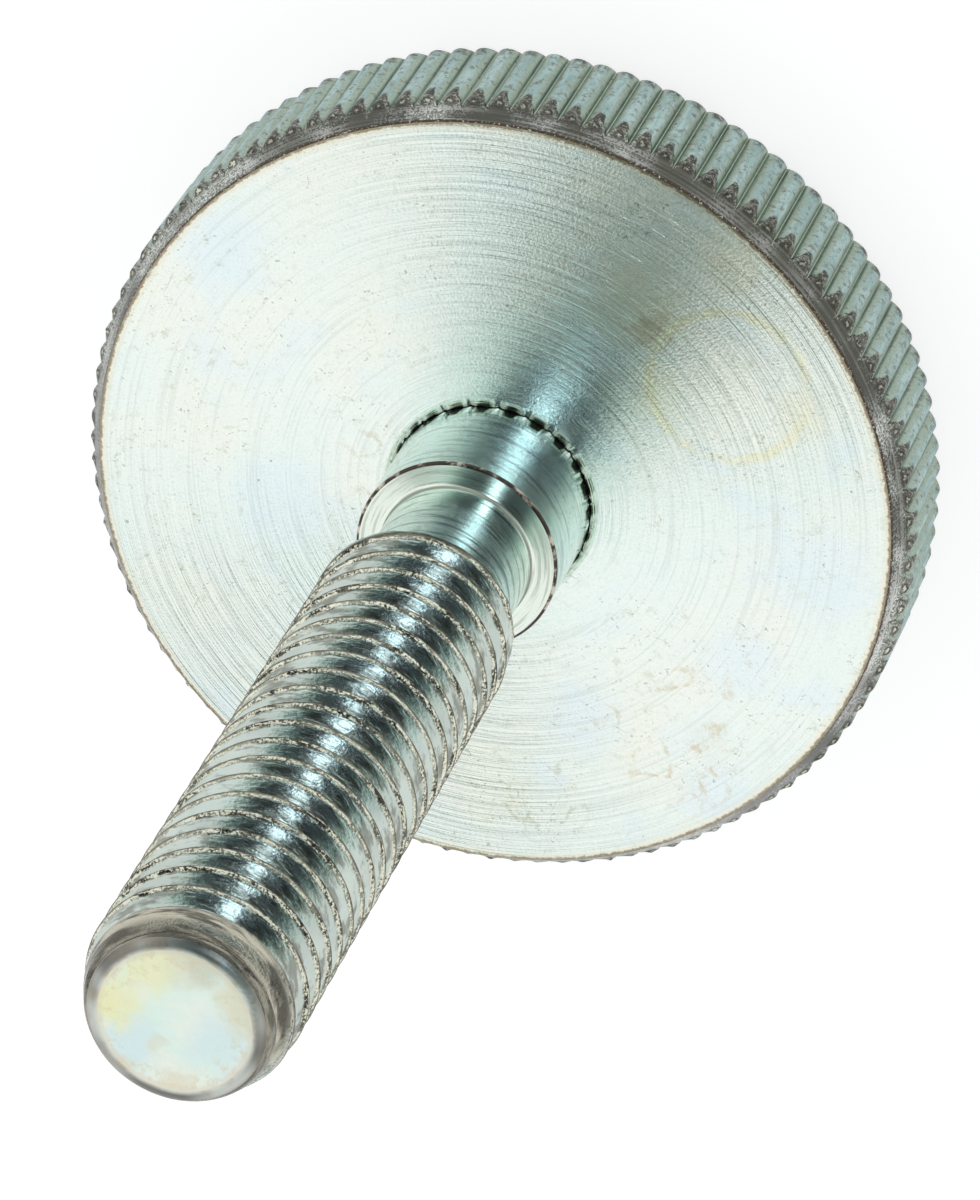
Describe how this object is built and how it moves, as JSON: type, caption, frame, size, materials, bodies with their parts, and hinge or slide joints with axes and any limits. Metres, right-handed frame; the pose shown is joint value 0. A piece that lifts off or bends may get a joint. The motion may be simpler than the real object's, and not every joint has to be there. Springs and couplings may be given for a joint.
{
  "type": "thumb screw",
  "caption": "Thumb screw: a thin straight-knurled round head pressed onto a stud with a smooth collar, an undercut neck and a coarse right-hand thread.",
  "frame": {"origin": "centre of the head's back face, on which the screw stands", "axes": "+Z along the stud, from the head to the tip"},
  "size_m": [0.0244, 0.0244, 0.035],
  "materials": {
    "head_plating": "zinc plated, turned",
    "stud_plating": "zinc plated, bright"
  },
  "bodies": {
    "root": {"knurled_head": "head_plating", "threaded_stud": "stud_plating"}
  },
  "joints": []
}
